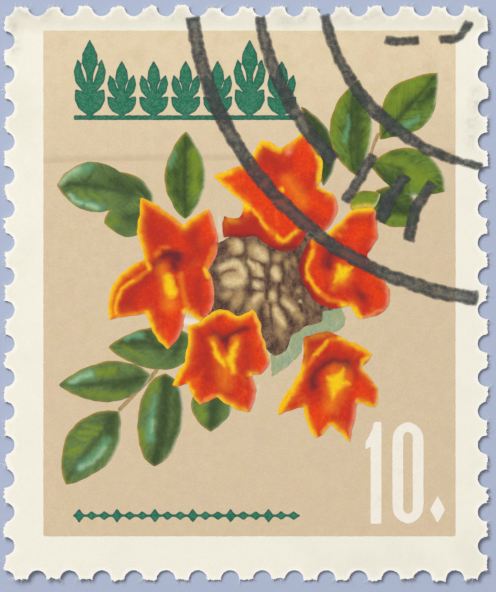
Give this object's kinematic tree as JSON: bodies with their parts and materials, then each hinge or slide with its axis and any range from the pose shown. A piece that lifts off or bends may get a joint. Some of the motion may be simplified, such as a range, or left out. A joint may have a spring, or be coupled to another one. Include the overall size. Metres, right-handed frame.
{
  "type": "postage stamp",
  "caption": "Used perforated postage stamp with a printed picture of a flowering branch, a plain value numeral and a ring postmark.",
  "frame": {"origin": "centre of the underside of the paper", "axes": "+X to the picture's right, +Y to the picture's top edge, +Z out of the printed face"},
  "size_m": [0.0206, 0.0244, 0.0001],
  "materials": {
    "paper": "matt, slightly fibrous",
    "ground_ink": "matt tinted print",
    "petal_ink": "matt print, red with yellow rims",
    "leaf_ink": "matt print, dark green with teal lights",
    "twig_ink": "matt print",
    "stalk_ink": "matt print, pale grey green",
    "bud_ink": "matt print, dark brown with cream lights",
    "ornament_ink": "matt print, dark green",
    "numeral": "bare paper left unprinted",
    "postmark_ink": "worn hand stamp ink, uneven"
  },
  "bodies": {
    "root": {"bloom_left": "petal_ink", "bloom_lower_middle": "petal_ink", "bloom_lower_right": "petal_ink", "bloom_right": "petal_ink", "bloom_top": "petal_ink", "bud_cluster": "bud_ink", "caption_rule": "ornament_ink", "flower_stalk": "stalk_ink", "leaf_1": "leaf_ink", "leaf_10": "leaf_ink", "leaf_11": "leaf_ink", "leaf_12": "leaf_ink", "leaf_13": "leaf_ink", "leaf_14": "leaf_ink", "leaf_15": "leaf_ink", "leaf_2": "leaf_ink", "leaf_3": "leaf_ink", "leaf_4": "leaf_ink", "leaf_5": "leaf_ink", "leaf_6": "leaf_ink", "leaf_7": "leaf_ink", "leaf_8": "leaf_ink", "leaf_9": "leaf_ink", "panel": "ground_ink", "postmark_bar_1": "postmark_ink", "postmark_bar_2": "postmark_ink", "postmark_bar_3": "postmark_ink", "postmark_bar_4": "postmark_ink", "postmark_bar_5": "postmark_ink", "postmark_inner_ring": "postmark_ink", "postmark_middle_ring": "postmark_ink", "postmark_outer_ring": "postmark_ink", "sheet": "paper", "title_frieze": "ornament_ink", "twig_left": "twig_ink", "twig_right": "twig_ink", "value_lozenge": "numeral", "value_nought": "numeral", "value_one": "numeral"}
  },
  "joints": []
}
